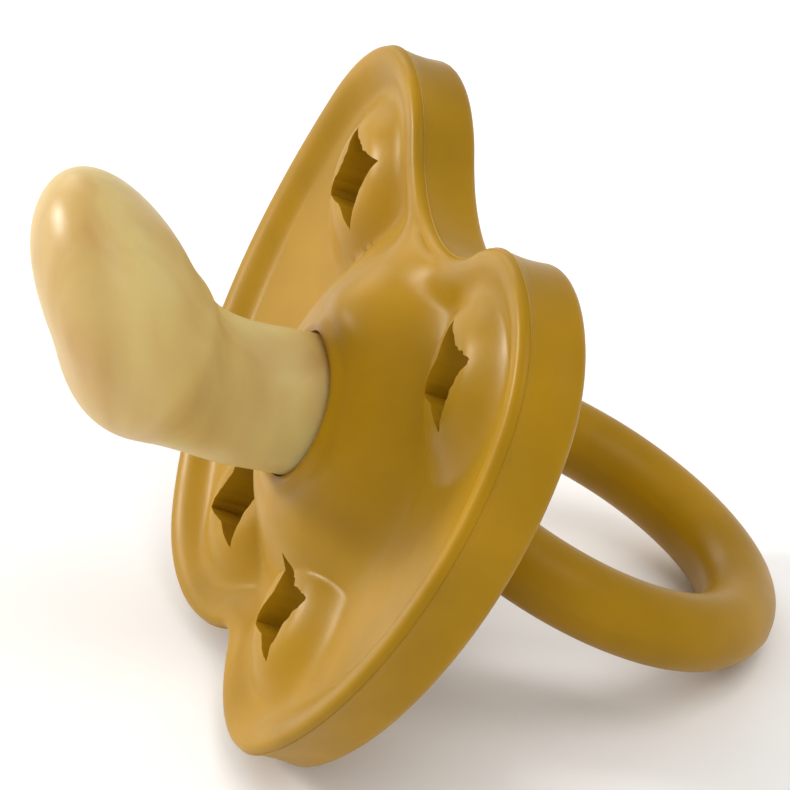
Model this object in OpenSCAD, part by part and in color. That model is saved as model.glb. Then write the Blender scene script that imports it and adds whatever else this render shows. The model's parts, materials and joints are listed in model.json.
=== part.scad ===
// Natural rubber pacifier: a hollow orthodontic teat, a butterfly guard with four star vents,
// a plug that holds the teat in the guard, a cap that closes the plug's eye, and a pull ring.
//
// Every piece is drawn in the guard's frame: X across the wings, -Y out along the teat's neck,
// Z up towards the nose, with the datum plane Y = 0 touching the front lip at the guard's centre.
// place() then leans the guard back until it lies on its two lower lobes and the ring.

/* [Guard outline] */
// Width across the wings
guard_w = 53; // [44:0.5:64]
// Height of the wing tops above the guard's centre
guard_top = 18; // [15:0.5:22]
// Depth of the lower lobes below the guard's centre
guard_bottom = 22; // [18:0.5:27]
// Radius of each wing's upper corner
wing_r = 10.4; // [8.6:0.1:12.5]
// Radius of each lower lobe
lobe_r = 12.6; // [10.5:0.1:15.2]
// Radius of each long side
side_r = 28; // [23:0.5:34]
// Height of the widest point above the guard's centre
side_z = 2.6; // [0:0.1:5]
// Height of the nose notch's floor above the guard's centre
nose_notch = 12.3; // [10:0.1:14]
// Depth of the chin notch's roof below the guard's centre
chin_notch = 19.6; // [17:0.1:21]

/* [Guard section] */
// Depth of the rim from its front lip to its back lip
rim_depth = 4.8; // [3.9:0.1:5.7]
// Width of the raised lip all round the rim
rim_band = 3.4; // [2.8:0.1:4.2]
// Rounding of the rim's edges
rim_round = 0.8; // [0.4:0.1:1]
// Radius to which the guard is bowed across the wings
bow_across_r = 183; // [120:1:300]
// Radius to which the guard is bowed from nose to chin
bow_up_r = 113; // [80:1:300]
// Height above the guard's centre at which the bow across the wings has faded to nothing
bow_fade = 20.7; // [18:0.1:40]
// Wall of the guard inside its rim
web_t = 2.2; // [1.8:0.1:2.7]
// Depth of the groove between the lip and the face
groove_depth = 0.5; // [0:0.1:1]
// Width of the groove
groove_w = 1; // [0.6:0.1:1.4]
// Width of the slopes at the lip's inner edge
lip_slope = 1; // [0.6:0.1:1.4]
// Height of the mound that carries the neck
hub_rise = 3.8; // [3.1:0.1:4.6]
// Width of the mound's slope
hub_slope = 7.7; // [6.4:0.1:9.3]
// Height of the soft pad round each vent
pad_rise = 1.2; // [0:0.1:1.8]
// Width of each pad's slope
pad_slope = 4.2; // [3.5:0.1:5.1]

/* [Star vents] */
// Points of each star
star_points = 4; // [4:1:6]
// Distance from a vent's centre to its points
star_r = 3.8; // [3.1:0.1:4.6]
// Distance from a vent's centre to its inner corners
star_waist_r = 2.2; // [1.8:0.1:2.6]
// Angle by which the stars are turned clockwise, seen from the mouth
star_turn = 45; // [0:1:45]
// Place of a wing's vent from the centre of the wing's corner, across and up
wing_vent = [-1.2, 1.5]; // [-2:0.1:2]
// Place of a lobe's vent from the centre of the lobe, across and up
lobe_vent = [-0.7, -3.7]; // [-4.5:0.1:0]

/* [Teat] */
// Outer diameter of the neck
neck_d = 9.7; // [8:0.1:11.7]
// Height of the neck's axis above the guard's centre
neck_z = -1.9; // [-3:0.1:0]
// Wall of the teat
teat_wall = 1.1; // [0.9:0.05:1.4]
// Reach of the bulb's heel in front of the datum plane
heel_reach = 14.6; // [12:0.1:17]
// Height of the heel above the guard's centre
heel_z = -1; // [-2:0.1:0]
// Length over which the neck widens into the heel
throat_l = 5.4; // [4.5:0.1:6.5]
// Thickness of the bulb at its heel
heel_t = 10.6; // [8.8:0.1:12.8]
// Width of the bulb at its heel
heel_w = 17.8; // [14.8:0.1:21.4]
// Reach of the centre of the bulb's tip in front of the datum plane
tip_reach = 21.4; // [18:0.1:25]
// Height of the centre of the tip above the guard's centre
tip_z = 5.1; // [3:0.1:7]
// Thickness of the bulb at its tip
tip_t = 8.4; // [7:0.1:10]
// Width of the bulb across its shoulders, just behind the tip
shoulder_w = 15; // [12.5:0.1:18]
// How far the shoulders lie behind the tip
shoulder_back = 2; // [1:0.1:3]
// Diameter of the flange that stops the neck being pulled out
flange_d = 15.6; // [13:0.1:18.8]
// Thickness of the flange
flange_t = 1.1; // [0.9:0.1:1.4]
// Wall round the flange at the back of the guard
boss_wall = 1.3; // [1:0.1:1.6]

/* [Plug and cap] */
// Length of the plug's stem inside the neck, in front of the flange
stem_l = 8; // [5:0.1:9.6]
// Thickness of the plug's disc
disc_t = 1.4; // [1.1:0.1:1.7]
// Width of the knob along the eye
knob_w = 8; // [6.6:0.1:9.6]
// Wall of the knob round the eye
knob_wall = 2.9; // [2.4:0.1:3.5]
// Wall between the disc and the eye
eye_wall = 1.5; // [1.2:0.1:1.8]
// Diameter of the studs that hold the cap
stud_d = 1.7; // [1.4:0.1:2.1]
// Length of the studs
stud_l = 3; // [2:0.1:3.6]

/* [Ring] */
// Diameter of the opening inside the ring
ring_hole_d = 20.2; // [16.8:0.1:24.2]
// Diameter of the ring's round section
ring_t = 5.35; // [4.45:0.01:6.45]
// Height of the eye's axis above the guard's centre
eye_z = -2.7; // [-3.5:0.1:-1.9]

/* [Fits and attitude] */
// Gap all round the ring where it passes through the eye
eye_gap = 0.25; // [0.15:0.05:0.4]
// Radial gap round the neck and round the flange in the guard
seat_gap = 0.1; // [0.05:0.05:0.2]
// Radial squeeze of the plug's stem in the neck and of the studs in their sockets
press = 0.05; // [0.02:0.01:0.1]
// Angle by which the guard leans back when it lies on a table
lean = 25.5; // [20:0.5:30]

/* [Hidden] */

MUSTARD = "#B38A2B";
MUSTARD_DARK = "#A07A22";
AMBER = "#C9A857";

ROUND = 96;
BALL = 32;
// Share of a rounding's radius that its middle stands off both faces
ROUND_MID = 1 - cos(45);
// Overlap of solids that become one, and length by which a cut runs past its end
EPS = 0.02;
PAST = 1;
// Length of the slice of neck from which the bulb is drawn
SLICE = 0.2;
// How far inside their edges the mound and the pads start to fall
CREST_EDGE = 1;

// Outline: the right half is five arcs, each tangent to the next
arc_steps = 9;
side_c = [guard_w / 2 - side_r, side_z];
wing_c = [arc_x(guard_top - wing_r, wing_r), guard_top - wing_r];
lobe_c = [arc_x(lobe_r - guard_bottom, lobe_r), lobe_r - guard_bottom];
nose_r = notch_r(wing_c, wing_r, nose_notch - wing_c.y);
nose_c = [0, nose_notch + nose_r];
chin_r = notch_r(lobe_c, lobe_r, chin_notch + lobe_c.y);
chin_c = [0, -chin_notch - chin_r];
nose_end = atan2(wing_c.y - nose_c.y, wing_c.x);
side_start = atan2(wing_c.y - side_c.y, wing_c.x - side_c.x);
side_end = atan2(lobe_c.y - side_c.y, lobe_c.x - side_c.x);
lobe_end = atan2(chin_c.y - lobe_c.y, -lobe_c.x);

// Vents: one near the middle of each wing and one low in each lobe
wing_star = wing_c + wing_vent;
lobe_star = lobe_c + lobe_vent;

// Hub, neck and plug, from front to back
neck_c = [0, neck_z];
neck_r = neck_d / 2;
bore_r = neck_r - teat_wall;
seat_r = flange_d / 2 + seat_gap;
seat_y = web_t - hub_rise;
disc_y = seat_y + flange_t;
knob_y = disc_y + disc_t;
boss_r = seat_r + boss_wall;
hub_flat_r = seat_r - CREST_EDGE;
hub_foot_r = hub_flat_r + hub_slope;
pad_flat_r = star_r - CREST_EDGE;
pad_foot_r = pad_flat_r + pad_slope;
neck_end = heel_reach - throat_l;
tip_c = [0, -tip_reach, tip_z];
heel_c = [0, -heel_reach, heel_z];
shoulder_c = tip_c + shoulder_back * (heel_c - tip_c) / norm(heel_c - tip_c);

// Ring and eye
tube_r = ring_t / 2;
ring_r = (ring_hole_d + ring_t) / 2;
eye_r = tube_r + eye_gap;
eye_back = knob_y + eye_wall + eye_r;
eye_c = [0, eye_back, eye_z];
knob_r = eye_r + knob_wall;
stud_z = eye_r + knob_wall / 2;

// Loops of the guard's skin from the middle of the face over the rim to the middle of the back.
// Inside the rim each loop lies a share of the way from the neck to the lip's inner edge.
face_edge = outline(rim_band + groove_w);
face_shares = [0.25, 0.45, 0.6, 0.75, 0.9, 1];
back_shares = [1, 0.7, 0.45, 0.2];
round_mid = rim_round * ROUND_MID;
rim_section = [
    [rim_band, -groove_depth / 2], [rim_band - lip_slope, 0],
    [rim_round, 0], [round_mid, -round_mid], [0, -rim_round],
    [0, rim_round - rim_depth], [round_mid, round_mid - rim_depth], [rim_round, -rim_depth],
    [rim_band - lip_slope, -rim_depth], [rim_band, groove_depth - rim_depth]
];

// Lying attitude: the ring slopes down until it touches the surface under the lobes
floor_z = min([for (p = guard_points()) leaned(p).z]);
eye_world = leaned(eye_c);
ring_slope = asin((eye_world.z - tube_r - floor_z) / (2 * ring_r));
front_y = leaned(tip_c).y - tip_t / 2;
back_y = eye_world.y + 2 * ring_r * cos(ring_slope) + tube_r;
middle_y = (front_y + back_y) / 2;

// A point of the guard's frame after the lean
function leaned(p) = [p.x, p.y * cos(lean) + p.z * sin(lean), p.z * cos(lean) - p.y * sin(lean)];

// X of the centre of an arc of radius r at height z that touches the long side from inside
function arc_x(z, r) = side_c.x + sqrt(pow(side_r - r, 2) - pow(z - side_z, 2));

// Radius of the notch that touches an arc and has its floor h beyond the arc's centre
function notch_r(c, r, h) = (c.x * c.x + h * h - r * r) / (2 * (r - h));

function arc(c, r, from, to) = [
    for (i = [0 : arc_steps - 1])
        let (a = from + (to - from) * i / arc_steps)
            c + r * [cos(a), sin(a)]
];

// The right half of the outline, drawn inwards by inset
function half_outline(inset) = concat(
    arc(nose_c, nose_r + inset, -90, nose_end),
    arc(wing_c, wing_r - inset, nose_end + 180, side_start),
    arc(side_c, side_r - inset, side_start, side_end),
    arc(lobe_c, lobe_r - inset, side_end, lobe_end),
    arc(chin_c, chin_r + inset, lobe_end + 180, 90),
    [[0, inset - chin_notch]]
);

function outline(inset) =
    let (half = half_outline(inset))
        concat(half, [for (i = [len(half) - 2 : -1 : 1]) [-half[i].x, half[i].y]]);

// A bump that is 1 inside flat, 0 outside foot and smooth between
function swell(d, flat, foot) =
    d <= flat ? 1 : d >= foot ? 0 : (1 + cos(180 * (d - flat) / (foot - flat))) / 2;

function bow(p) =
    p.x * p.x / (2 * bow_across_r) * (1 - p.y / bow_fade) + p.y * p.y / (2 * bow_up_r);
function mound(p) = hub_rise * swell(norm(p - neck_c), hub_flat_r, hub_foot_r);
function star_distance(p) =
    let (q = [abs(p.x), p.y])
        min(norm(q - wing_star), norm(q - lobe_star));
function pad(p) = pad_rise * swell(star_distance(p), pad_flat_r, pad_foot_r);

function face_loop(share) = [
    for (edge = face_edge)
        let (p = neck_c + share * (edge - neck_c))
            [p.x, groove_depth - bow(p) - mound(p) - pad(p), p.y]
];
function back_loop(share) = [
    for (edge = face_edge)
        let (p = neck_c + share * (edge - neck_c))
            [p.x, groove_depth + web_t - bow(p) - mound(p), p.y]
];
function rim_loop(at) = [for (p = outline(at.x)) [p.x, -at.y - bow(p), p.y]];

function guard_loops() = concat(
    [for (share = face_shares) face_loop(share)],
    [for (at = rim_section) rim_loop(at)],
    [for (share = back_shares) back_loop(share)]
);
function guard_points() = [for (loop = guard_loops()) each loop];

// Faces of a stack of closed loops of n points, with a middle point at each end
function stack_faces(rows, n) = concat(
    [for (r = [0 : rows - 2], i = [0 : n - 1])
        let (a = r * n + i, b = r * n + (i + 1) % n)
            each [[a, b + n, b], [a, a + n, b + n]]],
    [for (i = [0 : n - 1]) [rows * n, i, (i + 1) % n]],
    [for (i = [0 : n - 1]) [rows * n + 1, (rows - 1) * n + (i + 1) % n, (rows - 1) * n + i]]
);

module guard_skin() {
    loops = guard_loops();
    front_middle = [0, groove_depth - bow(neck_c) - hub_rise, neck_z];
    back_middle = front_middle + [0, web_t, 0];
    polyhedron(
        points = concat(guard_points(), [front_middle, back_middle]),
        faces = stack_faces(len(loops), len(face_edge)),
        convexity = 6
    );
}

// Cylinder along the neck between two depths behind the datum plane
module along_neck(r, from, to) {
    translate([0, from, neck_z])
        rotate([-90, 0, 0])
            cylinder(r = r, h = to - from, $fn = ROUND);
}

module place() {
    translate([0, -middle_y, -floor_z])
        rotate([-lean, 0, 0])
            children();
}

module star() {
    polygon([
        for (i = [0 : 2 * star_points - 1])
            let (r = i % 2 == 0 ? star_r : star_waist_r, a = 90 - star_turn + 180 / star_points * i)
                r * [cos(a), sin(a)]
    ]);
}

module vents() {
    for (c = [wing_star, lobe_star], side = [-1, 1])
        translate([side * c.x, rim_depth + PAST, c.y])
            rotate([90, 0, 0])
                linear_extrude(height = 2 * rim_depth + hub_rise + pad_rise)
                    star();
}

module guard() {
    color(MUSTARD)
        place()
            difference() {
                union() {
                    guard_skin();
                    along_neck(boss_r, seat_y - EPS, knob_y - seat_gap);
                }
                along_neck(neck_r + seat_gap, -hub_rise - PAST, knob_y);
                along_neck(seat_r, seat_y, knob_y + PAST);
                vents();
            }
}

// Balls on both sides of the bulb, with their outer sides width apart
module bulb_pair(c, thickness, width, skin) {
    for (side = [-1, 1])
        translate(c + [side * (width - thickness) / 2, 0, 0])
            sphere(r = thickness / 2 - skin, $fn = BALL);
}

// The bulb, drawn inwards by skin
module bulb(skin) {
    hull() {
        along_neck(neck_r - skin, -neck_end, SLICE - neck_end);
        bulb_pair(heel_c, heel_t, heel_w, skin);
    }
    hull() {
        bulb_pair(heel_c, heel_t, heel_w, skin);
        bulb_pair(shoulder_c, tip_t, shoulder_w, skin);
        translate(tip_c)
            sphere(r = tip_t / 2 - skin, $fn = BALL);
    }
}

module teat() {
    color(AMBER)
        place()
            difference() {
                union() {
                    along_neck(neck_r, -neck_end, disc_y);
                    along_neck(flange_d / 2, seat_y, disc_y);
                    bulb(0);
                }
                along_neck(bore_r, -neck_end, disc_y + PAST);
                bulb(teat_wall);
            }
}

// The space that the ring never enters as it swings, cut away from a solid round the eye
module eye_cut() {
    translate(eye_c)
        rotate([0, 90, 0])
            rotate_extrude($fn = ROUND)
                difference() {
                    translate([0, -knob_w])
                        square([ring_r, 2 * knob_w]);
                    translate([ring_r, 0])
                        circle(r = ring_r - eye_r, $fn = 2 * ROUND);
                }
}

module across_eye() {
    translate(eye_c)
        rotate([0, 90, 0])
            cylinder(r = knob_r, h = knob_w, center = true, $fn = ROUND);
}

module studs(r, length) {
    for (side = [-1, 1])
        translate([0, eye_back, eye_z + side * stud_z])
            rotate([90, 0, 0])
                cylinder(r = r, h = length, $fn = ROUND);
}

module plug() {
    color(MUSTARD_DARK)
        place()
            difference() {
                union() {
                    along_neck(bore_r + press, disc_y - flange_t - stem_l, disc_y + EPS);
                    along_neck(flange_d / 2, disc_y, knob_y);
                    translate([-knob_w / 2, knob_y - EPS, eye_z - knob_r])
                        cube([knob_w, eye_back - knob_y + EPS, 2 * knob_r]);
                }
                eye_cut();
                studs(stud_d / 2, stud_l + EPS);
            }
}

module knob_cap() {
    color(MUSTARD_DARK)
        place()
            union() {
                difference() {
                    across_eye();
                    translate([-knob_w, eye_back - 2 * knob_r, eye_z - 2 * knob_r])
                        cube([2 * knob_w, 2 * knob_r, 4 * knob_r]);
                    eye_cut();
                }
                studs(stud_d / 2 + press, stud_l);
            }
}

module ring() {
    color(MUSTARD)
        translate([0, -middle_y, -floor_z])
            translate(eye_world)
                rotate([-ring_slope, 0, 0])
                    translate([0, ring_r, 0])
                        rotate_extrude($fn = 2 * ROUND)
                            translate([ring_r, 0])
                                circle(r = tube_r, $fn = ROUND);
}

guard();
teat();
plug();
knob_cap();
ring();
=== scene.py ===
import json
import math

import bmesh
import bpy
from bpy.props import FloatProperty, FloatVectorProperty, IntProperty, PointerProperty
from mathutils import Matrix, Vector, noise


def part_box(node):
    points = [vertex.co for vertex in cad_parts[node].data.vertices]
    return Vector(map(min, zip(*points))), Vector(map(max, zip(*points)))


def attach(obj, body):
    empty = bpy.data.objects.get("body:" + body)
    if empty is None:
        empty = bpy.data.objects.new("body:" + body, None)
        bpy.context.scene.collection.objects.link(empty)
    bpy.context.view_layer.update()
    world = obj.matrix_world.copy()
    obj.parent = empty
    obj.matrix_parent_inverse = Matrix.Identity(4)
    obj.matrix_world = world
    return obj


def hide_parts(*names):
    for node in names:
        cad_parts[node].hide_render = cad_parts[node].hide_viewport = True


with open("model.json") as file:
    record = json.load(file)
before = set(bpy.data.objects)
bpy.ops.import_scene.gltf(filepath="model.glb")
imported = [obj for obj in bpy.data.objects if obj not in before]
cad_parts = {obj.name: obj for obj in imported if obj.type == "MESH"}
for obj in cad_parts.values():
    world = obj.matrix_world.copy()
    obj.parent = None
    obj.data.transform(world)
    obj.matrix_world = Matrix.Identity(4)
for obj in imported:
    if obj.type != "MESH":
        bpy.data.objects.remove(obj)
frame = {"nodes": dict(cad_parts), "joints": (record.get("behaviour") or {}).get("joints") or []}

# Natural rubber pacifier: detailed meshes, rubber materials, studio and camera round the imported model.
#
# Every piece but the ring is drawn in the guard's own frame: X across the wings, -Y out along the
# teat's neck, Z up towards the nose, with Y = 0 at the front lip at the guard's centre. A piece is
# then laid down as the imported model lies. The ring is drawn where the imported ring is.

bl_info = {
    "name": "Natural Rubber Pacifier",
    "version": (1, 0, 0),
    "blender": (4, 5, 0),
    "location": "View3D > Sidebar > Pacifier",
    "description": "Builds a natural rubber pacifier round its packed frame",
    "category": "Add Mesh",
}

MM = 0.001

# Inset given to a point that faces no arc of the outline, as only points far inside do
DEEP_INSIDE = 1.0
# Heights above the neck's axis between which the ridge under the nose notch rises
RIDGE_RISE = (2 * MM, 8 * MM)
# How much deeper than the web the guard's back face lies, to make up for the valley in its front
BACK_EXTRA = 0.5 * MM
# Gap between the neck and its hole, and the rounding of the hole's front edge
HOLE_GAP = 0.04 * MM
HOLE_EDGE = 0.35 * MM
# Insets of the loops on the flat of the back lip, and of those down its inner wall
BACK_LIP = [1.4 * MM, 2.0 * MM, 2.4 * MM]
BACK_WALL = [2.6 * MM, 2.8 * MM, 3.0 * MM, 3.2 * MM, 3.4 * MM]
# Fillet at the boss's foot, rounding of its back edges, and clearance of the web's last loop
BOSS_FILLET = 0.8 * MM
BOSS_EDGE = 0.35 * MM
BOSS_FOOT = 0.9 * MM

# Distances in front of the lip between which the teat's line is let go from the neck's axis
LINE_FREED = (3 * MM, 9 * MM)
# Shares of the teat's line between which the neck swells into the bulb
SWELL = (0.22, 0.5)
# Share of the line at which the bulb starts to close, and the share that the closing takes
CLOSE_START = 0.66
CLOSE_SHARE = 0.34
# Shares of the line at which the heel, the sole's flat and the hollow of the bend start, are full,
# start to fall and end
HEEL_SPAN = (0.32, 0.46, 0.46, 0.66)
FLAT_SPAN = (0.5, 0.7, 0.72, 0.95)
CROOK_SPAN = (0.2, 0.34, 0.36, 0.48)
# Rounding of the flange's edges, and of the corner between flange and neck
FLANGE_EDGE = 0.25 * MM
NECK_CORNER = 0.3 * MM


# ---------------------------------------------------------------- properties

def size(name, description, mm):
    return FloatProperty(name=name, description=description, default=mm * MM, unit="LENGTH", precision=5)


def angle(name, description, degrees):
    return FloatProperty(name=name, description=description, default=math.radians(degrees), unit="ROTATION")


def linear(code):
    """An sRGB hex colour as linear red, green and blue."""
    shares = [int(code[i:i + 2], 16) / 255 for i in (1, 3, 5)]
    return [s / 12.92 if s <= 0.04045 else ((s + 0.055) / 1.055) ** 2.4 for s in shares]


def colour(name, description, code):
    return FloatVectorProperty(
        name=name, description=description, subtype="COLOR", size=3, min=0, max=1, default=linear(code)
    )


class GuardSizes(bpy.types.PropertyGroup):
    width: size("Width", "Width across the wings", 53)
    top: size("Top", "Height of the wing tops above the centre", 18)
    bottom: size("Bottom", "Depth of the lower lobes below the centre", 22)
    wing_r: size("Wing radius", "Radius of each wing's upper corner", 10.4)
    lobe_r: size("Lobe radius", "Radius of each lower lobe", 12.6)
    side_r: size("Side radius", "Radius of each long side", 28)
    side_z: size("Side height", "Height of the widest point above the centre", 2.6)
    nose_notch: size("Nose notch", "Height of the nose notch's floor above the centre", 12.3)
    chin_notch: size("Chin notch", "Depth of the chin notch's roof below the centre", 19.6)
    rim_depth: size("Rim depth", "Depth of the rim from front lip to back lip", 4.8)
    rim_round: size("Rim rounding", "Rounding of the rim's edges", 0.7)
    rim_hollow: size("Rim hollow", "How far the rim's wall is hollowed between its edges", 0.12)
    seam: size("Seam", "Height of the moulding seam along the rim's front edge", 0.07)
    crest: size("Crest", "Distance of the lip's crest from the rim's wall", 1.0)
    valley: size("Valley", "Depth of the valley inside the lip", 0.9)
    valley_in: size("Valley inset", "Distance of the valley's floor from the rim's wall", 3.6)
    bow_across: size("Bow across", "Radius to which the guard is bowed across the wings", 183)
    bow_up: size("Bow up", "Radius to which the guard is bowed from nose to chin", 113)
    bow_fade: size("Bow fade", "Height above the centre at which the bow across has faded", 20.7)
    web: size("Web", "Wall inside the rim", 2.2)
    hub_rise: size("Hub rise", "Height of the mound that carries the neck", 3.3)
    hub_flat: size("Hub crest radius", "Radius at which the mound starts to fall", 6.4)
    hub_foot: size("Hub foot radius", "Radius at which the mound ends", 14.6)
    collar: size("Collar", "Height of the collar round the neck's foot", 0.55)
    collar_w: size("Collar width", "Width of the collar round the neck's foot", 1.3)
    pad_rise: size("Pad rise", "Height of the soft pad round each vent, above the lip's crest", 1.0)
    pad_flat: size("Pad crest radius", "Radius at which each pad starts to fall", 2.6)
    pad_foot: size("Pad foot radius", "Radius at which each pad ends", 7.2)
    ridge: size("Ridge", "Height of the ridge from the nose notch to the neck", 1.0)
    ridge_w: size("Ridge width", "Half width of that ridge", 4.6)
    star_r: size("Vent radius", "Distance from a vent's centre to its points", 3.8)
    star_waist: size("Vent waist", "Distance from a vent's centre to its inner corners", 2.2)
    star_turn: angle("Vent turn", "Angle by which the stars are turned clockwise, seen from the mouth", 45)
    star_points: IntProperty(name="Vent points", description="Points of each star", default=4, min=3)
    ragged: size("Ragged edge", "Roughness of the trimmed edge of a vent", 0.22)
    wing_vent_x: size("Wing vent across", "A wing's vent from the centre of the wing's corner, across", -1.2)
    wing_vent_z: size("Wing vent up", "A wing's vent from the centre of the wing's corner, up", 1.5)
    lobe_vent_x: size("Lobe vent across", "A lobe's vent from the centre of the lobe, across", -0.7)
    lobe_vent_z: size("Lobe vent up", "A lobe's vent from the centre of the lobe, up", -3.7)
    boss_r: size("Boss radius", "Outer radius of the boss at the back", 9.2)
    seat_r: size("Seat radius", "Radius of the flange's seat in the boss", 7.9)
    seat_y: size("Seat depth", "Depth of the seat's floor behind the lip", -1.6)
    boss_y: size("Boss depth", "Depth of the boss's back face behind the lip", 0.8)
    spacing: size("Mesh spacing", "Spacing of the mesh along the outline", 0.45)


class TeatSizes(bpy.types.PropertyGroup):
    neck_r: size("Neck radius", "Outer radius of the neck", 4.85)
    neck_z: size("Neck height", "Height of the neck's axis above the guard's centre", -1.9)
    wall: size("Wall", "Wall of the teat", 1.1)
    flange_r: size("Flange radius", "Radius of the flange inside the guard", 7.8)
    flange_t: size("Flange thickness", "Thickness of the flange", 1.1)
    heel_y: size("Heel reach", "Reach of the line's bend in front of the lip", 16.4)
    heel_z: size("Heel height", "Height of the line's bend", -3.9)
    bend_y: size("Bend reach", "Reach of the second handle of the line", 17.0)
    bend_z: size("Bend height", "Height of the second handle of the line", 0.2)
    tip_y: size("Tip reach", "Reach of the tip's end in front of the lip", 24.5)
    tip_z: size("Tip height", "Height of the tip's end above the guard's centre", 8.5)
    half_w: size("Bulb half width", "Half the bulb's greatest width", 8.9)
    half_t: size("Bulb half thickness", "Half the bulb's greatest thickness", 5.3)
    sole: size("Sole", "Fullness of the bulb's underside at the heel", 0.75)
    flat: size("Flat", "Flatness of the bulb's underside between heel and tip", 0.45)
    crook: size("Crook", "Depth of the hollow inside the bend", 0.4)


class BackSizes(bpy.types.PropertyGroup):
    edge: size("Edge rounding", "Rounding of the plug's and cap's edges", 0.45)
    eye_back: size("Eye depth", "Distance of the eye's axis behind the lip", 5.325)
    eye_z: size("Eye height", "Height of the eye's axis above the guard's centre", -2.7)
    seam: size("Ring seam", "Height of the moulding seam round the ring", 0.05)
    ring_roll: angle("Ring roll", "Angle by which the loose ring has rolled in its eye", 1.5)


class Rubbers(bpy.types.PropertyGroup):
    mustard: colour("Mustard", "The guard's and the ring's rubber", "#A57B10")
    mustard_deep: colour("Deep mustard", "Where that rubber's pigment lies thicker", "#96700D")
    plug: colour("Plug", "The plug's and the cap's rubber", "#8E6A0E")
    amber: colour("Amber", "The teat's rubber", "#E6CE88")
    # Deep amber serves the teat's random clouds and also its painted shade near the guard and the tip
    amber_clouds_and_shade: colour("Deep amber", "The teat's rubber where it is thickest", "#BF8E3E")
    floor: colour("Floor", "The studio floor", "#F6F5F3")


class Studio(bpy.types.PropertyGroup):
    azimuth: angle("Azimuth", "Camera's bearing", 78.83)
    elevation: angle("Elevation", "Camera's height angle", 29.5)
    roll: angle("Roll", "Camera's roll", -1.49)
    distance: size("Distance", "Camera's distance from the guard's centre", 294.6)
    lens: FloatProperty(name="Lens", description="Focal length in millimetres", default=202.9)
    shift: FloatProperty(name="Shift", description="Sideways shift of the framing", default=0.0416)
    lean: angle("Lean", "Angle by which the guard leans back", 25.5)
    key_azimuth: angle("Key azimuth", "Key light's bearing", -34)
    key_elevation: angle("Key elevation", "Key light's height angle", 19)
    smooth: IntProperty(name="Smoothness", description="Subdivision levels of the teat", default=2)


def guard_sizes():
    return bpy.context.scene.pacifier_guard


def teat_sizes():
    return bpy.context.scene.pacifier_teat


def back_sizes():
    return bpy.context.scene.pacifier_back


def rubbers():
    return bpy.context.scene.pacifier_rubbers


def studio():
    return bpy.context.scene.pacifier_studio


# ---------------------------------------------------------------- shared mesh work

def laid_down():
    """The matrix from the guard's own frame to where the guard lies. The ring's joint fixes it."""
    eye = Vector(frame["joints"][0]["pos_m"])
    b = back_sizes()
    eye_in_guard = Vector((0, b.eye_back, b.eye_z))
    lean = Matrix.Rotation(-studio().lean, 4, "X")
    return Matrix.Translation(eye) @ lean @ Matrix.Translation(-eye_in_guard)


def verts_of(geometry):
    return [g for g in geometry if isinstance(g, bmesh.types.BMVert)]


def edges_of(geometry):
    return [g for g in geometry if isinstance(g, bmesh.types.BMEdge)]


def smoothstep(x, start, end):
    """0 up to start, 1 from end on and smooth between."""
    share = min(max((x - start) / (end - start), 0), 1)
    return share * share * (3 - 2 * share)


def hump(x, span):
    """0 outside the span, 1 between its two middle values and smooth between."""
    start, full, fall, end = span
    return smoothstep(x, start, full) * (1 - smoothstep(x, fall, end))


def next_loop(bm, edges):
    """Extrudes a closed loop of edges and returns its new edges and vertices in the old order."""
    made = bmesh.ops.extrude_edge_only(bm, edges=edges)["geom"]
    return edges_of(made), verts_of(made)


def finish_piece(bm, name, material, body, nodes, turn=None, sharp=None):
    """Turns a bmesh into a smooth shaded object that rides on a body and stands for CAD nodes."""
    if turn:
        bmesh.ops.transform(bm, matrix=turn, verts=bm.verts)
    mesh = bpy.data.meshes.new(name)
    bm.to_mesh(mesh)
    bm.free()
    mesh.shade_smooth()
    if sharp:
        mesh.set_sharp_from_angle(angle=sharp)
    piece = bpy.data.objects.new(name, mesh)
    bpy.context.scene.collection.objects.link(piece)
    piece.data.materials.append(material)
    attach(piece, body)
    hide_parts(*nodes)
    return piece


# ---------------------------------------------------------------- materials

def add_node(tree, kind, inputs=None, **settings):
    """Adds a node with its settings. An input is a plain value, or another node's output to link."""
    made = tree.nodes.new(kind)
    for key, value in settings.items():
        setattr(made, key, value)
    for key, value in (inputs or {}).items():
        if isinstance(value, bpy.types.NodeSocket):
            tree.links.new(value, made.inputs[key])
        else:
            made.inputs[key].default_value = value
    return made


def new_material(name):
    """A material with an empty tree, its Object coordinates and its output node."""
    material = bpy.data.materials.new(name)
    material.use_nodes = True
    tree = material.node_tree
    tree.nodes.clear()
    place = add_node(tree, "ShaderNodeTexCoord").outputs["Object"]
    output = add_node(tree, "ShaderNodeOutputMaterial")
    return material, tree, place, output


def rgba(rgb):
    return (*rgb, 1)


def per(mm):
    """The texture scale at which a pattern repeats every so many millimetres."""
    return 1 / (mm * MM)


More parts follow.
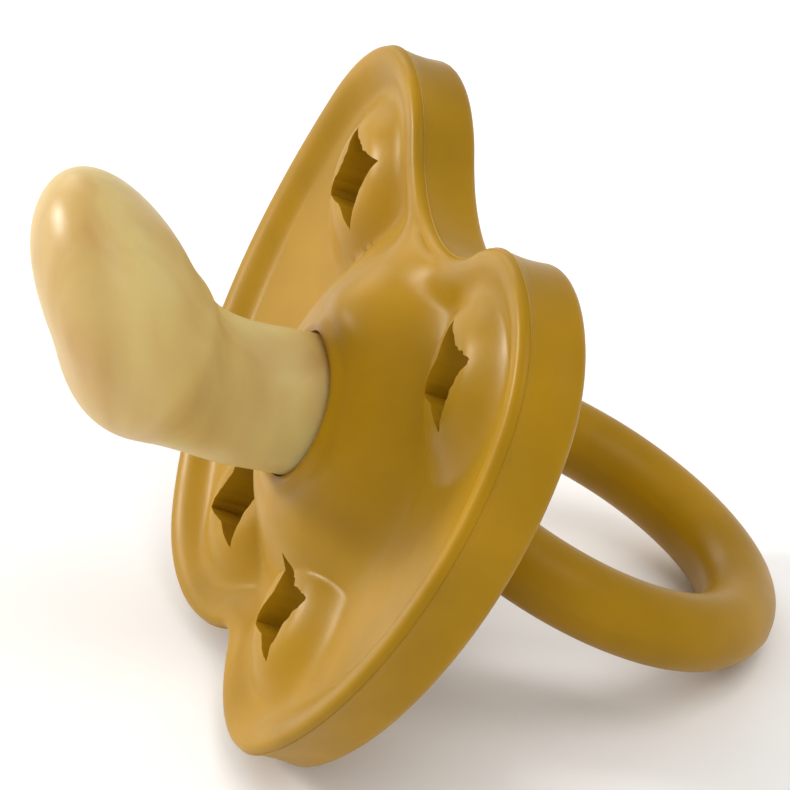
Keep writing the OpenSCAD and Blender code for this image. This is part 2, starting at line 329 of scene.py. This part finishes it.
def moulded_natural_rubber(name, light, deep):
    """Pigmented natural rubber from a polished mould: an opaque body with a little depth, a broad
    soft gloss, faint pigment clouds and the fine orange peel of the mould's surface."""
    material, tree, place, output = new_material(name)
    clouds = add_node(tree, "ShaderNodeTexNoise", {"Vector": place, "Scale": per(9), "Detail": 3.0})
    tint = add_node(tree, "ShaderNodeMapRange", {
        "Value": clouds.outputs["Fac"], "From Min": 0.35, "From Max": 0.65})
    base = add_node(tree, "ShaderNodeMix", {
        "Factor": tint.outputs["Result"], "A": rgba(deep), "B": rgba(light)}, data_type="RGBA")
    handling = add_node(tree, "ShaderNodeTexNoise", {"Vector": place, "Scale": per(3.5), "Detail": 4.0})
    gloss = add_node(tree, "ShaderNodeMapRange", {
        "Value": handling.outputs["Fac"], "From Min": 0.3, "From Max": 0.7,
        "To Min": 0.33, "To Max": 0.41})
    peel = add_node(tree, "ShaderNodeTexNoise", {"Vector": place, "Scale": per(0.5), "Detail": 2.0})
    relief = add_node(tree, "ShaderNodeBump", {
        "Height": peel.outputs["Fac"], "Strength": 0.12, "Distance": 0.05 * MM})
    rubber = add_node(tree, "ShaderNodeBsdfPrincipled", {
        "Base Color": base.outputs["Result"],
        "Roughness": gloss.outputs["Result"],
        "Normal": relief.outputs["Normal"],
        "IOR": 1.52,
        "Specular IOR Level": 0.14,
        "Specular Tint": (1.0, 0.86, 0.6, 1.0),
        "Subsurface Weight": 0.1,
        "Subsurface Radius": (1.0, 0.55, 0.12),
        "Subsurface Scale": 0.9 * MM,
    })
    tree.links.new(rubber.outputs["BSDF"], output.inputs["Surface"])
    return material


def dipped_natural_rubber(name, light, deep):
    """Unpigmented natural rubber, dipped and cured: amber, clouded and translucent, with a wet-looking
    soft gloss. Painted shade makes it browner towards the guard and deeper amber towards the tip."""
    material, tree, place, output = new_material(name)
    along = add_node(tree, "ShaderNodeMapping", {"Vector": place, "Scale": (1.0, 1.0, 0.35)})
    clouds = add_node(tree, "ShaderNodeTexNoise", {
        "Vector": along.outputs["Vector"], "Scale": per(4.5), "Detail": 2.0, "Distortion": 0.6})
    streaks = add_node(tree, "ShaderNodeMapRange", {
        "Value": clouds.outputs["Fac"], "From Min": 0.35, "From Max": 0.7, "To Min": 0.0, "To Max": 0.4})
    axes = add_node(tree, "ShaderNodeSeparateXYZ", {"Vector": place})
    low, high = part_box("teat")
    # Painted shade: browner towards the guard, standing in for the plug's stem seen through the neck
    foot = add_node(tree, "ShaderNodeMapRange", {
        "Value": axes.outputs["Y"], "From Min": high.y - 7.5 * MM, "From Max": high.y - 4.5 * MM,
        "To Min": 0.0, "To Max": 0.55}, interpolation_type="SMOOTHSTEP")
    # Painted shade: deeper amber towards the tip, where the translucent bulb's edge looks darker
    brow = add_node(tree, "ShaderNodeMapRange", {
        "Value": axes.outputs["Y"], "From Min": low.y + 1 * MM, "From Max": low.y + 7 * MM,
        "To Min": 0.4, "To Max": 0.0}, interpolation_type="SMOOTHSTEP")
    # Random clouds plus the painted shade at both ends set how deep the amber is
    ends = add_node(tree, "ShaderNodeMath", {
        0: foot.outputs["Result"], 1: brow.outputs["Result"]}, operation="ADD")
    clouds_and_painted_shade = add_node(tree, "ShaderNodeMath", {
        0: streaks.outputs["Result"], 1: ends.outputs["Value"]}, operation="ADD", use_clamp=True)
    base = add_node(tree, "ShaderNodeMix", {
        "Factor": clouds_and_painted_shade.outputs["Value"], "A": rgba(light), "B": rgba(deep)}, data_type="RGBA")
    peel = add_node(tree, "ShaderNodeTexNoise", {"Vector": place, "Scale": per(1.2), "Detail": 2.0})
    relief = add_node(tree, "ShaderNodeBump", {
        "Height": peel.outputs["Fac"], "Strength": 0.1, "Distance": 0.05 * MM})
    rubber = add_node(tree, "ShaderNodeBsdfPrincipled", {
        "Base Color": base.outputs["Result"],
        "Roughness": 0.38,
        "Normal": relief.outputs["Normal"],
        "IOR": 1.4,
        "Specular IOR Level": 0.4,
        "Subsurface Weight": 0.7,
        "Subsurface Radius": (1.0, 0.75, 0.3),
        "Subsurface Scale": 2.5 * MM,
        "Transmission Weight": 0.25,
    })
    tree.links.new(rubber.outputs["BSDF"], output.inputs["Surface"])
    return material


def matt_paper(name, rgb):
    """Seamless studio paper: pale, even and without gloss."""
    material, tree, place, output = new_material(name)
    fibres = add_node(tree, "ShaderNodeTexNoise", {"Vector": place, "Scale": per(0.8), "Detail": 3.0})
    relief = add_node(tree, "ShaderNodeBump", {
        "Height": fibres.outputs["Fac"], "Strength": 0.05, "Distance": 0.02 * MM})
    paper = add_node(tree, "ShaderNodeBsdfPrincipled", {
        "Base Color": rgba(rgb), "Roughness": 0.9, "Normal": relief.outputs["Normal"]})
    tree.links.new(paper.outputs["BSDF"], output.inputs["Surface"])
    return material


def rubber_of(kind):
    """The material of that kind, made once."""
    made = bpy.data.materials.get(kind)
    if made:
        return made
    r = rubbers()
    if kind == "dipped_amber_rubber":
        return dipped_natural_rubber(kind, r.amber, r.amber_clouds_and_shade)
    if kind == "moulded_plug_rubber":
        return moulded_natural_rubber(kind, r.plug, [0.85 * share for share in r.plug])
    return moulded_natural_rubber(kind, r.mustard, r.mustard_deep)


# ---------------------------------------------------------------- the guard's plan

class Outline:
    """The right half of the guard's outline: five arcs from the nose notch to the chin notch, each
    tangent to the next. An arc is its centre, radius, first and last angle, and 1 where it bulges
    outwards or -1 where it is a notch."""

    def __init__(self, g):
        side = Vector((g.width / 2 - g.side_r, g.side_z))
        wing = self.corner(g, side, g.top - g.wing_r, g.wing_r)
        lobe = self.corner(g, side, g.lobe_r - g.bottom, g.lobe_r)
        nose_r = self.notch(wing, g.wing_r, g.nose_notch - wing.y)
        nose = Vector((0, g.nose_notch + nose_r))
        chin_r = self.notch(lobe, g.lobe_r, g.chin_notch + lobe.y)
        chin = Vector((0, -g.chin_notch - chin_r))
        to_wing = self.bearing(nose, wing)
        to_lobe = self.bearing(chin, lobe)
        out_of_wing = self.bearing(side, wing)
        out_of_lobe = self.bearing(side, lobe)
        self.wing = wing
        self.lobe = lobe
        self.arcs = [
            (nose, nose_r, -math.pi / 2, to_wing, -1),
            (wing, g.wing_r, to_wing + math.pi, out_of_wing, 1),
            (side, g.side_r, out_of_wing, out_of_lobe, 1),
            (lobe, g.lobe_r, out_of_lobe, to_lobe - math.pi, 1),
            (chin, chin_r, to_lobe, math.pi / 2, -1),
        ]

    @staticmethod
    def corner(g, side, z, r):
        """Centre of a corner of radius r at height z that touches the long side from inside."""
        return Vector((side.x + math.sqrt((g.side_r - r) ** 2 - (z - g.side_z) ** 2), z))

    @staticmethod
    def notch(c, r, h):
        """Radius of the notch that touches a corner and has its floor h beyond the corner's centre."""
        return (c.x * c.x + h * h - r * r) / (2 * (r - h))

    @staticmethod
    def bearing(start, end):
        return math.atan2(end.y - start.y, end.x - start.x)

    def inset(self, p):
        """How far a point of the plan lies inside the outline."""
        q = Vector((abs(p.x), p.y))
        found = []
        for centre, radius, first, last, bulge in self.arcs:
            bearing = math.atan2(q.y - centre.y, q.x - centre.x)
            low, high = sorted((first, last))
            if any(low <= bearing + turn <= high for turn in (-2 * math.pi, 0, 2 * math.pi)):
                found.append(bulge * (radius - (q - centre).length))
        return min(found, key=abs) if found else DEEP_INSIDE

    def draw(self, bm, g):
        """Spins a vertex round each arc in turn and mirrors the half to a closed loop of edges."""
        last = bm.verts.new((0, 0, g.nose_notch))
        for centre, radius, first, final, bulge in self.arcs:
            turn = first - final
            steps = max(8, round(abs(turn) * radius / g.spacing))
            spun = bmesh.ops.spin(
                bm, geom=[last], cent=(centre.x, 0, centre.y), axis=(0, 1, 0), angle=turn,
                steps=steps, use_merge=False, use_duplicate=False,
            )
            last = verts_of(spun["geom_last"])[0]
        last.co.x = 0
        bmesh.ops.mirror(bm, geom=bm.verts[:] + bm.edges[:], axis="X", merge_dist=0.001 * MM)
        return bm.edges[:]


def plan(v):
    return Vector((v.x, v.z))


def vents(g, outline):
    """Centres of the vents on the right half: one in the wing and one in the lobe."""
    return [
        outline.wing + Vector((g.wing_vent_x, g.wing_vent_z)),
        outline.lobe + Vector((g.lobe_vent_x, g.lobe_vent_z)),
    ]


def star_edge(g, p):
    """Distance of a point from the edge of a vent centred at the origin, positive outside it."""
    half = math.pi / g.star_points
    fold = abs((math.atan2(p.x, p.y) - g.star_turn + half) % (2 * half) - half)
    q = p.length * Vector((math.cos(fold), math.sin(fold)))
    tip = Vector((g.star_r, 0))
    waist = g.star_waist * Vector((math.cos(half), math.sin(half)))
    along = (waist - tip).normalized()
    across = Vector((-along.y, along.x))
    if across.x < 0:
        across = -across
    return (q - tip).dot(across)


class Relief:
    """Heights of the guard's front and back over its plan, towards the mouth."""

    def __init__(self, g, t, outline):
        self.g = g
        self.neck = Vector((0, t.neck_z))
        self.outline = outline
        self.vents = vents(g, outline)

    def bow(self, p):
        across = p.x * p.x / (2 * self.g.bow_across) * (1 - p.y / self.g.bow_fade)
        return across + p.y * p.y / (2 * self.g.bow_up)

    def from_vent(self, p):
        q = Vector((abs(p.x), p.y))
        return min((q - vent for vent in self.vents), key=lambda d: d.length)

    def mound(self, p):
        g = self.g
        return 1 - smoothstep((p - self.neck).length, g.hub_flat, g.hub_foot)

    def front(self, p):
        g = self.g
        inset = self.outline.inset(p)
        valley = -g.valley * smoothstep(inset, g.crest, g.valley_in)
        offset = self.from_vent(p)
        pad = (g.pad_rise + g.valley) * (1 - smoothstep(offset.length, g.pad_flat, g.pad_foot))
        pad *= smoothstep(inset, 0, g.valley_in)
        mound = (g.hub_rise + g.valley) * self.mound(p)
        up = p.y - self.neck.y
        ridge = g.ridge * math.exp(-(p.x / g.ridge_w) ** 2) * smoothstep(up, *RIDGE_RISE)
        ridge *= smoothstep(inset, 0, g.valley_in)
        from_neck = (p - self.neck).length
        collar_at = 5.4 * MM
        collar = g.collar * math.exp(-((from_neck - collar_at) / (g.collar_w / 2)) ** 2)
        return self.bow(p) + valley + max(pad, mound) + ridge + collar

    def back(self, p):
        g = self.g
        mound = (g.hub_rise + BACK_EXTRA) * self.mound(p)
        return self.bow(p) - g.web - BACK_EXTRA + mound


# ---------------------------------------------------------------- the guard

def rim_section(g):
    """Inset and height of the rim's loops, from the front lip over the wall to the back lip."""
    depth = g.rim_depth
    curve = g.rim_round
    quarter = [math.pi / 2 * i / 5 for i in range(6)]
    front = [(curve * (1 - math.sin(a)), -curve * (1 - math.cos(a))) for a in quarter]
    seam = [(-g.seam, -curve * 1.05), (-g.seam, -curve * 1.12), (0, -curve * 1.2)]
    wall_top = -curve * 1.3
    wall_low = curve - depth
    wall = []
    for i in range(1, 8):
        share = i / 8
        hollow = g.rim_hollow * math.sin(math.pi * share)
        wall.append((hollow, wall_top + (wall_low - wall_top) * share))
    back = [(curve * (1 - math.cos(a)), wall_low - curve * math.sin(a)) for a in quarter]
    return front + seam + wall + back


def guard_mesh(g, t):
    """One loop, extruded from the neck's hole over face, rim, back, boss and seat to the hole."""
    outline = Outline(g)
    relief = Relief(g, t, outline)
    bm = bmesh.new()
    layer = bm.verts.layers.int.new("base")
    edges = outline.draw(bm, g)
    loop = bm.verts[:]
    base = {}
    for i, v in enumerate(loop):
        v[layer] = i
        base[i] = plan(v.co)
    inward = {}
    for i, p in base.items():
        step = 0.01 * MM
        slope = Vector((
            outline.inset(p + Vector((step, 0))) - outline.inset(p - Vector((step, 0))),
            outline.inset(p + Vector((0, step))) - outline.inset(p - Vector((0, step))),
        ))
        if abs(p.x) < step:
            slope.x = 0
        inward[i] = slope.normalized()

    def rim_point(i, inset):
        return base[i] + inset * inward[i]

    def hub_point(i, radius):
        return relief.neck + radius * (rim_point(i, g.valley_in) - relief.neck).normalized()

    def put(verts, point, depth):
        for v in verts:
            p = point(v[layer])
            v.co = (p.x, depth(p), p.y)

    def grow(point, depth):
        nonlocal edges
        edges, verts = next_loop(bm, edges)
        put(verts, point, depth)

    hole = t.neck_r + HOLE_GAP
    hub_front = hole + HOLE_EDGE
    first_edges = edges
    put(loop, lambda i: hub_point(i, hole), lambda p: g.seat_y)

    def crown(p):
        return -relief.front(relief.neck + hub_front * (p - relief.neck).normalized())

    for share in (0.4, 0.8):
        grow(lambda i: hub_point(i, hole), lambda p: g.seat_y + share * (crown(p) + HOLE_EDGE - g.seat_y))
    grow(lambda i: hub_point(i, hole + 0.1 * MM), lambda p: crown(p) + 0.1 * MM)
    face_loops = 46
    for n in range(face_loops + 1):
        share = (n / face_loops) ** 1.15
        grow(
            lambda i: hub_point(i, hub_front).lerp(rim_point(i, g.valley_in), share),
            lambda p: 0,
        )
    for n in range(1, 12):
        inset = g.valley_in + (g.rim_round - g.valley_in) * n / 12
        grow(lambda i: rim_point(i, inset), lambda p: 0)
    for inset, height in rim_section(g):
        grow(lambda i: rim_point(i, inset), lambda p: -height - relief.bow(p))
    for inset in BACK_LIP:
        grow(lambda i: rim_point(i, inset), lambda p: g.rim_depth - relief.bow(p))
    for n, inset in enumerate(BACK_WALL):
        drop = smoothstep(n, -1, 4.5)
        grow(
            lambda i: rim_point(i, inset),
            lambda p: g.rim_depth - relief.bow(p) - drop * (g.rim_depth - g.web - BACK_EXTRA),
        )
    boss_foot = g.boss_r + BOSS_FOOT
    back_loops = 26
    for n in range(1, back_loops + 1):
        share = n / back_loops
        grow(
            lambda i: rim_point(i, BACK_WALL[-1]).lerp(hub_point(i, boss_foot), share),
            lambda p: -relief.back(p),
        )
    web_back = -relief.back(relief.neck + Vector((g.boss_r, 0)))
    for n in range(1, 5):
        a = math.pi / 2 * n / 4
        grow(
            lambda i: hub_point(i, g.boss_r + BOSS_FILLET * (1 - math.sin(a))),
            lambda p: web_back + BOSS_FILLET * (1 - math.cos(a)),
        )
    for n in range(5):
        a = math.pi / 2 * n / 4
        grow(
            lambda i: hub_point(i, g.boss_r - BOSS_EDGE * (1 - math.cos(a))),
            lambda p: g.boss_y - BOSS_EDGE * (1 - math.sin(a)),
        )
    for n in range(4):
        a = math.pi / 2 * n / 3
        grow(
            lambda i: hub_point(i, g.seat_r + BOSS_EDGE * (1 - math.sin(a))),
            lambda p: g.boss_y - BOSS_EDGE * (1 - math.cos(a)),
        )
    grow(lambda i: hub_point(i, g.seat_r), lambda p: g.seat_y)
    bmesh.ops.bridge_loops(bm, edges=first_edges + edges)
    raise_face(bm, g, relief)
    bmesh.ops.remove_doubles(bm, verts=bm.verts, dist=0.0005 * MM)
    bmesh.ops.recalc_face_normals(bm, faces=bm.faces)
    return bm, relief


def raise_face(bm, g, relief):
    """Refines the flat face round the vents and lifts it to its heights."""
    flat = [v for v in bm.verts if v.co.y == 0]
    near = {v for v in flat if -0.2 * MM < star_edge(g, relief.from_vent(plan(v.co))) < 0.9 * MM}
    fine = [e for e in bm.edges if e.verts[0] in near and e.verts[1] in near]
    bmesh.ops.subdivide_edges(bm, edges=fine, cuts=1, use_grid_fill=True)
    for v in bm.verts:
        if v.co.y == 0:
            v.co.y = -relief.front(plan(v.co))


def vent_cutter(g, centre, side):
    """A star-shaped prism with a slightly torn edge, which cuts one vent."""
    bm = bmesh.new()
    star = bmesh.ops.create_circle(bm, segments=2 * g.star_points, radius=g.star_r)["verts"]
    for i, v in enumerate(star):
        if i % 2:
            v.co *= g.star_waist / g.star_r
    turn = Matrix.Rotation(math.pi / 2 - g.star_turn, 3, "Z")
    bmesh.ops.rotate(bm, verts=star, cent=(0, 0, 0), matrix=turn)
    bmesh.ops.subdivide_edges(bm, edges=bm.edges[:], cuts=9)
    for v in bm.verts:
        torn = smoothstep(side * v.co.x + 0.6 * v.co.y, -0.5 * MM, 1.5 * MM)
        seed = Vector((v.co.x, v.co.y, side * centre.x)) / MM
        shift = noise.noise(seed * 1.7) + 0.6 * noise.noise(seed * 5.3)
        v.co *= 1 + g.ragged * (0.25 + torn) * shift / v.co.length
    bmesh.ops.contextual_create(bm, geom=bm.edges[:])
    bmesh.ops.rotate(bm, verts=bm.verts, cent=(0, 0, 0), matrix=Matrix.Rotation(math.pi / 2, 3, "X"))
    front = 8 * MM
    bmesh.ops.translate(bm, verts=bm.verts, vec=(side * centre.x, -front, centre.y))
    made = bmesh.ops.extrude_face_region(bm, geom=bm.faces[:])["geom"]
    bmesh.ops.translate(bm, verts=verts_of(made), vec=(0, 2 * front, 0))
    bmesh.ops.recalc_face_normals(bm, faces=bm.faces)
    return bm


def plain_object(bm, name):
    mesh = bpy.data.meshes.new(name)
    bm.to_mesh(mesh)
    bm.free()
    made = bpy.data.objects.new(name, mesh)
    bpy.context.scene.collection.objects.link(made)
    return made


def cut(bm, cutters):
    """Cuts the cutters out of a bmesh and returns the result."""
    body = plain_object(bm, "cut_body")
    tools = [plain_object(cutter, "cut_tool") for cutter in cutters]
    for tool in tools:
        step = body.modifiers.new("vent", "BOOLEAN")
        step.operation = "DIFFERENCE"
        step.solver = "EXACT"
        step.object = tool
    graph = bpy.context.evaluated_depsgraph_get()
    result = bmesh.new()
    result.from_mesh(body.evaluated_get(graph).to_mesh())
    for made in [body, *tools]:
        bpy.data.objects.remove(made)
    return result


class PACIFIER_OT_guard(bpy.types.Operator):
    """Builds the butterfly guard with its raised lip, mound, pads and star vents"""
    bl_idname = "pacifier.guard"
    bl_label = "Guard"

    def execute(self, context):
        g = guard_sizes()
        bm, relief = guard_mesh(g, teat_sizes())
        cutters = [vent_cutter(g, vent, side) for vent in relief.vents for side in (-1, 1)]
        bm = cut(bm, cutters)
        bmesh.ops.dissolve_degenerate(bm, dist=0.005 * MM, edges=bm.edges)
        finish_piece(
            bm, "guard_shell", rubber_of("moulded_mustard_rubber"), "pacifier",
            ["guard"], turn=laid_down(), sharp=math.radians(48),
        )
        return {"FINISHED"}


# ---------------------------------------------------------------- the teat

def teat_line(t, share):
    """Point and direction of the teat's centre line: a cubic curve from the flange to the tip,
    straightened where the neck runs through the guard."""
    start = Vector((0, 0, t.neck_z))
    heel = Vector((0, -t.heel_y, t.heel_z))
    bend = Vector((0, -t.bend_y, t.bend_z))
    tip = Vector((0, -t.tip_y, t.tip_z))
    rest = 1 - share
    point = rest ** 3 * start + 3 * rest ** 2 * share * heel + 3 * rest * share ** 2 * bend + share ** 3 * tip
    slope = rest ** 2 * (heel - start) + 2 * rest * share * (bend - heel) + share ** 2 * (tip - bend)
    freed = smoothstep(-point.y, *LINE_FREED)
    point.z = t.neck_z + (point.z - t.neck_z) * freed
    slope.z *= freed
    return point, slope.normalized()


def teat_section(t, share):
    """Half width and half thickness of the teat at a share of its line."""
    swell = smoothstep(share, *SWELL)
    closing = 1.0
    if share > CLOSE_START:
        closing = math.sqrt(max(0, 1 - ((share - CLOSE_START) / CLOSE_SHARE) ** 2))
    wide = t.neck_r + (t.half_w - t.neck_r) * swell
    thick = t.neck_r + (t.half_t - t.neck_r) * swell
    return wide * closing, thick * closing


def teat_mesh(t):
    """A circle, extruded along the teat's line from the flange to the closed tip."""
    bm = bmesh.new()
    unit = bm.verts.layers.float_vector.new("unit")
    bmesh.ops.create_circle(bm, segments=40, radius=1, cap_ends=False)
    edges = bm.edges[:]
    verts = bm.verts[:]
    for v in verts:
        v[unit] = v.co.copy()

    def put(verts, centre, direction, wide, thick, sole=0.0, crook=0.0):
        up = direction.cross(Vector((1, 0, 0)))
        for v in verts:
            across, lift = v[unit].x, v[unit].y
            drop = (sole if lift < 0 else crook) * lift ** 2
            v.co = centre + Vector((wide * across, 0, 0)) + up * (thick * lift - drop)

    back = Vector((0, -1, 0))
    flange_back = guard_sizes().seat_y + t.flange_t
    flange_front = flange_back - t.flange_t
    ring = [
        (t.flange_r - FLANGE_EDGE, flange_back),
        (t.flange_r, flange_back - FLANGE_EDGE),
        (t.flange_r, flange_front + FLANGE_EDGE),
        (t.flange_r - FLANGE_EDGE, flange_front),
        (t.neck_r + NECK_CORNER, flange_front),
        (t.neck_r, flange_front - NECK_CORNER),
    ]
    put(verts, Vector((0, flange_back, t.neck_z)), back, t.neck_r - t.wall, t.neck_r - t.wall)
    for radius, depth in ring:
        edges, verts = next_loop(bm, edges)
        put(verts, Vector((0, depth, t.neck_z)), back, radius, radius)
    steps = 34
    for n in range(3, steps):
        share = n / steps
        if share > CLOSE_START:
            share = CLOSE_START + CLOSE_SHARE * math.sin(math.pi / 2 * (share - CLOSE_START) / CLOSE_SHARE)
        centre, direction = teat_line(t, share)
        wide, thick = teat_section(t, share)
        edges, verts = next_loop(bm, edges)
        sole = t.sole * hump(share, HEEL_SPAN) - t.flat * hump(share, FLAT_SPAN)
        put(verts, centre, direction, wide, thick, sole=sole, crook=t.crook * hump(share, CROOK_SPAN))
    edges, verts = next_loop(bm, edges)
    tip = teat_line(t, 1.0)[0]
    bmesh.ops.pointmerge(bm, verts=verts, merge_co=tip)
    bmesh.ops.recalc_face_normals(bm, faces=bm.faces)
    return bm


class PACIFIER_OT_teat(bpy.types.Operator):
    """Builds the hollow orthodontic teat with its neck and flange"""
    bl_idname = "pacifier.teat"
    bl_label = "Teat"

    def execute(self, context):
        t = teat_sizes()
        piece = finish_piece(
            teat_mesh(t), "teat_bulb", rubber_of("dipped_amber_rubber"), "pacifier",
            ["teat"], turn=laid_down(),
        )
        wall = piece.modifiers.new("wall", "SOLIDIFY")
        wall.thickness = t.wall
        wall.offset = -1
        skin = piece.modifiers.new("skin", "SUBSURF")
        skin.levels = studio().smooth
        skin.render_levels = studio().smooth
        return {"FINISHED"}


# ---------------------------------------------------------------- plug, cap and ring

def rounded_copy(node, edge):
    """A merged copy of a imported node's mesh with its sharp edges rounded."""
    bm = bmesh.new()
    bm.from_mesh(frame["nodes"][node].data)
    bmesh.ops.remove_doubles(bm, verts=bm.verts, dist=0.002 * MM)
    bmesh.ops.dissolve_limit(bm, angle_limit=math.radians(1), verts=bm.verts, edges=bm.edges)
    corners = [
        e for e in bm.edges
        if len(e.link_faces) == 2 and e.is_convex and e.calc_face_angle() > math.radians(40)
    ]
    bmesh.ops.bevel(
        bm, geom=corners, offset=edge, offset_type="OFFSET", affect="EDGES", segments=4,
        profile=0.5, material=-1, clamp_overlap=True,
    )
    return bm


class PACIFIER_OT_plug(bpy.types.Operator):
    """Builds the plug that holds the teat in the guard, and the cap that closes its eye"""
    bl_idname = "pacifier.plug"
    bl_label = "Plug and Cap"

    def execute(self, context):
        for name, node in (("plug_body", "plug"), ("eye_cap", "knob_cap")):
            finish_piece(
                rounded_copy(node, back_sizes().edge), name, rubber_of("moulded_plug_rubber"),
                "pacifier", [node], sharp=math.radians(35),
            )
        return {"FINISHED"}


class PACIFIER_OT_ring(bpy.types.Operator):
    """Builds the pull ring with its fine moulding seam"""
    bl_idname = "pacifier.ring"
    bl_label = "Ring"

    def execute(self, context):
        low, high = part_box("ring")
        centre = (low + high) / 2
        eye = Vector(frame["joints"][0]["pos_m"])
        path_r = (centre - eye).length
        tube_r = (high.x - low.x) / 2 - path_r
        b = back_sizes()
        bm = bmesh.new()
        bmesh.ops.create_circle(bm, segments=48, radius=tube_r, cap_ends=False)
        for v in bm.verts:
            on_seam = abs(v.co.y) < 0.02 * tube_r
            v.co *= 1 - b.seam / tube_r * (0 if on_seam else 1)
        bmesh.ops.rotate(bm, verts=bm.verts, cent=(0, 0, 0), matrix=Matrix.Rotation(math.pi / 2, 3, "X"))
        bmesh.ops.translate(bm, verts=bm.verts, vec=(path_r, 0, 0))
        bmesh.ops.spin(
            bm, geom=bm.verts[:] + bm.edges[:], cent=(0, 0, 0), axis=(0, 0, 1),
            angle=2 * math.pi, steps=160, use_merge=True, use_duplicate=False,
        )
        bmesh.ops.remove_doubles(bm, verts=bm.verts, dist=0.001 * MM)
        bmesh.ops.recalc_face_normals(bm, faces=bm.faces)
        down = math.atan2(eye.z - centre.z, centre.y - eye.y)
        tilt = Matrix.Rotation(-down, 4, "X")
        turn = Matrix.Translation(centre) @ tilt @ Matrix.Rotation(b.ring_roll, 4, "Y")
        finish_piece(
            bm, "pull_ring", rubber_of("moulded_mustard_rubber"), "ring",
            ["ring"], turn=turn,
        )
        return {"FINISHED"}


# ---------------------------------------------------------------- the stage

def towards(azimuth, elevation):
    """Unit vector from the object towards a viewer or light. Azimuth 0 is in front, at -Y."""
    flat = math.cos(elevation)
    return Vector((math.sin(azimuth) * flat, -math.cos(azimuth) * flat, math.sin(elevation)))


def add_light(name, direction, distance, size_m, watts, glint, target):
    """A square light that faces the target. Glint is how strongly it shows in glossy surfaces."""
    lamp = bpy.data.lights.new(name, "AREA")
    lamp.size = size_m
    lamp.energy = watts
    lamp.specular_factor = glint
    made = bpy.data.objects.new(name, lamp)
    made.location = target + direction * distance
    made.rotation_euler = direction.to_track_quat("Z", "Y").to_euler()
    bpy.context.scene.collection.objects.link(made)


class PACIFIER_OT_stage(bpy.types.Operator):
    """Lays the floor and sets up the lights and the camera"""
    bl_idname = "pacifier.stage"
    bl_label = "Studio"

    def execute(self, context):
        s = studio()
        scene = context.scene
        bm = bmesh.new()
        bmesh.ops.create_grid(bm, x_segments=8, y_segments=8, size=2)
        floor = plain_object(bm, "floor")
        floor.data.materials.append(matt_paper("studio_paper", rubbers().floor))

        world = bpy.data.worlds.new("studio_air")
        world.use_nodes = True
        air = world.node_tree.nodes["Background"]
        air.inputs["Color"].default_value = (1, 1, 1, 1)
        air.inputs["Strength"].default_value = 0.72
        scene.world = world

        middle = laid_down() @ Vector((0, 0, 0))
        fill_way = towards(math.radians(-75), math.radians(28))
        top_way = towards(math.radians(120), math.radians(60))
        lights = [
            ("key", towards(s.key_azimuth, s.key_elevation), 0.7, 0.12, 3.3, 1.0),
            ("fill", fill_way, 0.7, 0.35, 1.0, 1.0),
            ("top", top_way, 0.8, 0.5, 2.2, 0.1),
        ]
        for name, way, distance, size_m, watts, glint in lights:
            add_light(name, way, distance, size_m, watts, glint, target=middle)

        back = towards(s.azimuth, s.elevation)
        level = Vector((0, 0, 1)).cross(back).normalized()
        upright = back.cross(level)
        right = level * math.cos(s.roll) + upright * math.sin(s.roll)
        up = back.cross(right)
        lens = bpy.data.cameras.new("camera")
        lens.lens = s.lens
        lens.shift_x = s.shift
        lens.clip_start = 0.01
        lens.clip_end = 10
        camera = bpy.data.objects.new("camera", lens)
        camera.matrix_world = Matrix((
            (right.x, up.x, back.x, middle.x + back.x * s.distance),
            (right.y, up.y, back.y, middle.y + back.y * s.distance),
            (right.z, up.z, back.z, middle.z + back.z * s.distance),
            (0, 0, 0, 1),
        ))
        scene.collection.objects.link(camera)
        scene.camera = camera
        scene.view_settings.view_transform = "Standard"
        return {"FINISHED"}


class PACIFIER_PT_panel(bpy.types.Panel):
    """Lists the pieces of the pacifier"""
    bl_idname = "PACIFIER_PT_panel"
    bl_label = "Pacifier"
    bl_space_type = "VIEW_3D"
    bl_region_type = "UI"
    bl_category = "Pacifier"

    def draw(self, context):
        for operator in OPERATORS:
            self.layout.operator(operator.bl_idname)


OPERATORS = [
    PACIFIER_OT_guard,
    PACIFIER_OT_teat,
    PACIFIER_OT_plug,
    PACIFIER_OT_ring,
    PACIFIER_OT_stage,
]
GROUPS = {
    "pacifier_guard": GuardSizes,
    "pacifier_teat": TeatSizes,
    "pacifier_back": BackSizes,
    "pacifier_rubbers": Rubbers,
    "pacifier_studio": Studio,
}


def register():
    for name, group in GROUPS.items():
        bpy.utils.register_class(group)
        setattr(bpy.types.Scene, name, PointerProperty(type=group))
    for operator in OPERATORS:
        bpy.utils.register_class(operator)
    bpy.utils.register_class(PACIFIER_PT_panel)


def unregister():
    bpy.utils.unregister_class(PACIFIER_PT_panel)
    for operator in reversed(OPERATORS):
        bpy.utils.unregister_class(operator)
    for name, group in reversed(GROUPS.items()):
        delattr(bpy.types.Scene, name)
        bpy.utils.unregister_class(group)


def main():
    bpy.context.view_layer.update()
    register()
    bpy.ops.pacifier.guard()
    bpy.ops.pacifier.teat()
    bpy.ops.pacifier.plug()
    bpy.ops.pacifier.ring()
    bpy.ops.pacifier.stage()


if __name__ == "__main__":
    main()
